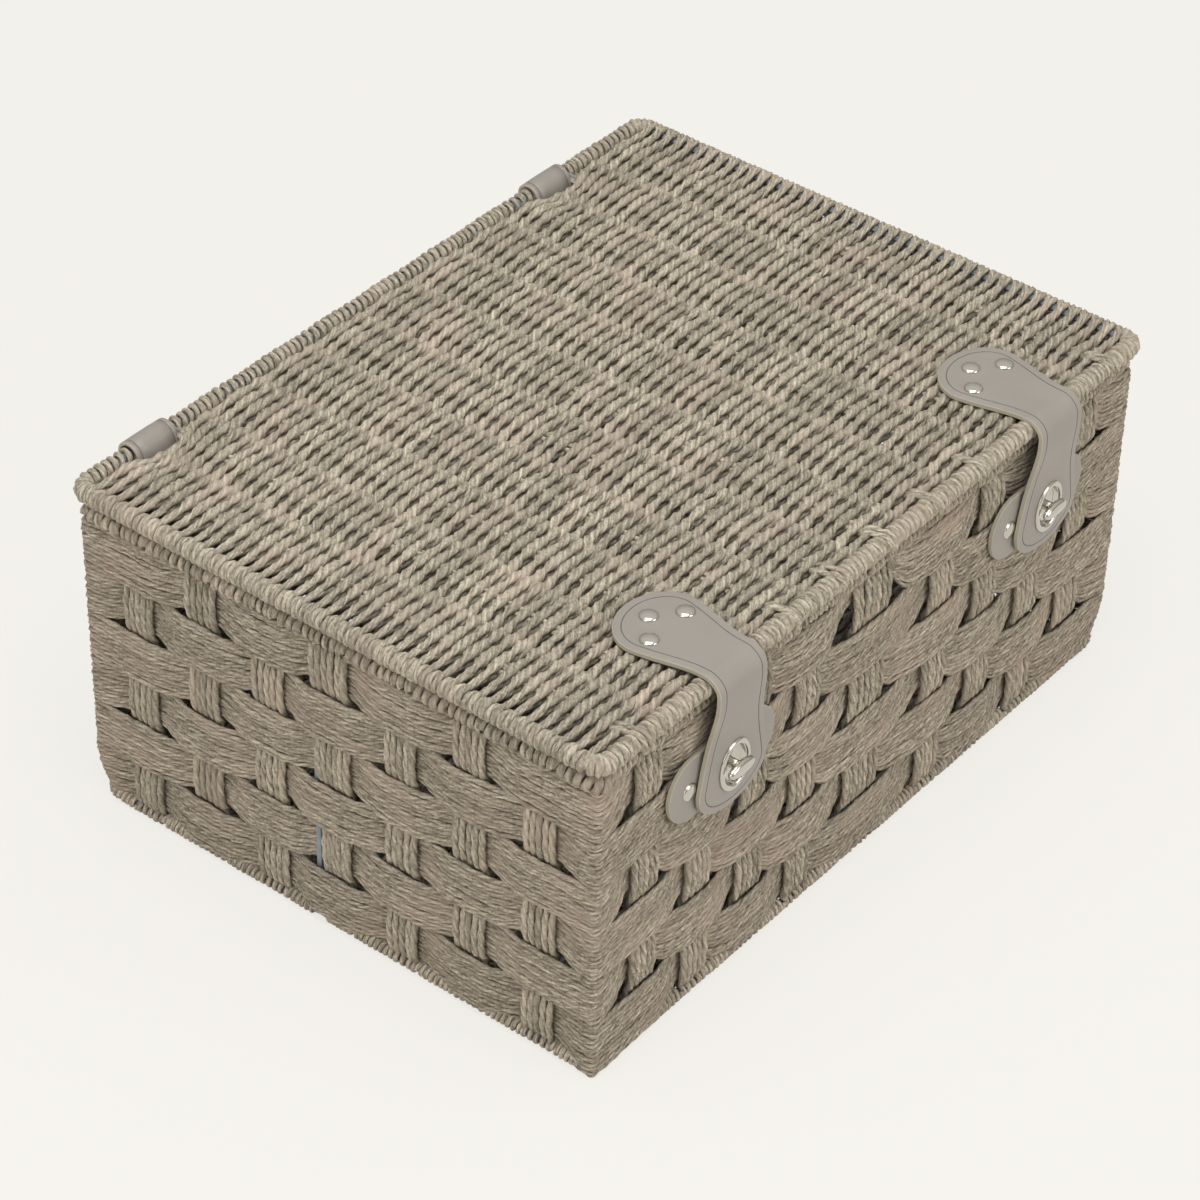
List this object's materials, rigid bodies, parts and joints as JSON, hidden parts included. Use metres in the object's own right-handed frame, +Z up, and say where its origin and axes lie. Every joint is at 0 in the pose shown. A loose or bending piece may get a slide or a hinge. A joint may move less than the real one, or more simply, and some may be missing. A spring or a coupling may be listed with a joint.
{
  "type": "hamper basket",
  "caption": "Rectangular hamper basket of woven paper rope on a wire frame, with a flat lid hinged in leather loops and leather clasp straps with turn locks.",
  "frame": {"origin": "middle of the basket's underside, on the surface that it stands on", "axes": "+X along the front to the right, -Y out of the front with the clasps, +Z up"},
  "size_m": [0.4034, 0.3138, 0.1844],
  "materials": {
    "paper_rope": "twisted paper rope, matt, grey-beige",
    "painted_wire": "blue-grey painted steel wire",
    "strap_leather": "warm grey leather-look sheet with a pale cut edge",
    "nickel": "polished nickel plate"
  },
  "bodies": {
    "basket": {"base_frame": "painted_wire", "front_stakes": "paper_rope", "right_stakes": "paper_rope", "back_stakes": "paper_rope", "left_stakes": "paper_rope", "band_1": "paper_rope", "band_2": "paper_rope", "band_3": "paper_rope", "band_4": "paper_rope", "band_5": "paper_rope", "band_6": "paper_rope", "floor_weave": "paper_rope", "hinge_loop_1": "strap_leather", "hinge_loop_2": "strap_leather", "left_pad": "strap_leather", "left_keeper_plate": "nickel", "left_pad_rivet_outer": "nickel", "left_pad_rivet_inner": "nickel", "right_pad": "strap_leather", "right_keeper_plate": "nickel", "right_pad_rivet_outer": "nickel", "right_pad_rivet_inner": "nickel"},
    "lid": {"lid_frame": "painted_wire", "lid_binding": "paper_rope", "lid_weave": "paper_rope", "left_strap_head": "strap_leather", "left_strap_rivet_1": "nickel", "left_strap_rivet_2": "nickel", "left_strap_rivet_3": "nickel", "right_strap_head": "strap_leather", "right_strap_rivet_1": "nickel", "right_strap_rivet_2": "nickel", "right_strap_rivet_3": "nickel"},
    "left_flap": {"left_strap_flap": "strap_leather", "left_eyelet": "nickel"},
    "right_flap": {"right_strap_flap": "strap_leather", "right_eyelet": "nickel"},
    "left_lock_knob": {"left_knob": "nickel"},
    "right_lock_knob": {"right_knob": "nickel"}
  },
  "joints": [
    {"name": "lid_hinge", "type": "hinge", "parent": "basket", "child": "lid", "pos_m": [0, 0.146, 0.1753], "axis": [-1, 0, 0], "range_deg": [0, 180]},
    {"name": "left_strap_lift", "type": "hinge", "parent": "lid", "child": "left_flap", "pos_m": [-0.114, -0.1547, 0.1738], "axis": [-1, 0, 0], "range_deg": [0, 110]},
    {"name": "right_strap_lift", "type": "hinge", "parent": "lid", "child": "right_flap", "pos_m": [0.1225, -0.1547, 0.1738], "axis": [-1, 0, 0], "range_deg": [0, 110]},
    {"name": "left_knob_turn", "type": "hinge", "parent": "left_flap", "child": "left_lock_knob", "pos_m": [-0.114, -0.1584, 0.1275], "axis": [0, -1, 0], "range_deg": [0, 90]},
    {"name": "right_knob_turn", "type": "hinge", "parent": "right_flap", "child": "right_lock_knob", "pos_m": [0.1225, -0.1584, 0.1275], "axis": [0, -1, 0], "range_deg": [0, 90]}
  ]
}
